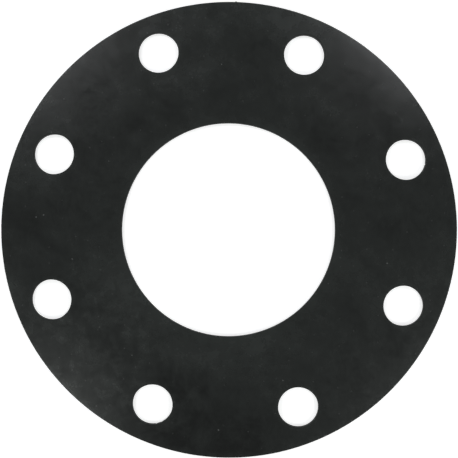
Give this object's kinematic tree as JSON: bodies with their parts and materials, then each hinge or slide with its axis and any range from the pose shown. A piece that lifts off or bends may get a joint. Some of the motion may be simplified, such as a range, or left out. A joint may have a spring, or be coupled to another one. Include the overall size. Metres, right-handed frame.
{
  "type": "rubber flange gasket",
  "caption": "Flat full-face gasket cut from black rubber sheet, with a central bore and evenly spaced bolt holes on one circle.",
  "frame": {"origin": "centre of the bore on the underside", "axes": "+Z along the bore axis, out of the top face; X and Y each pass midway between two bolt holes"},
  "size_m": [0.215, 0.2153, 0.003],
  "materials": {
    "rubber": "matte black sheet rubber with a faint uneven bloom"
  },
  "bodies": {
    "root": {"gasket": "rubber"}
  },
  "joints": []
}
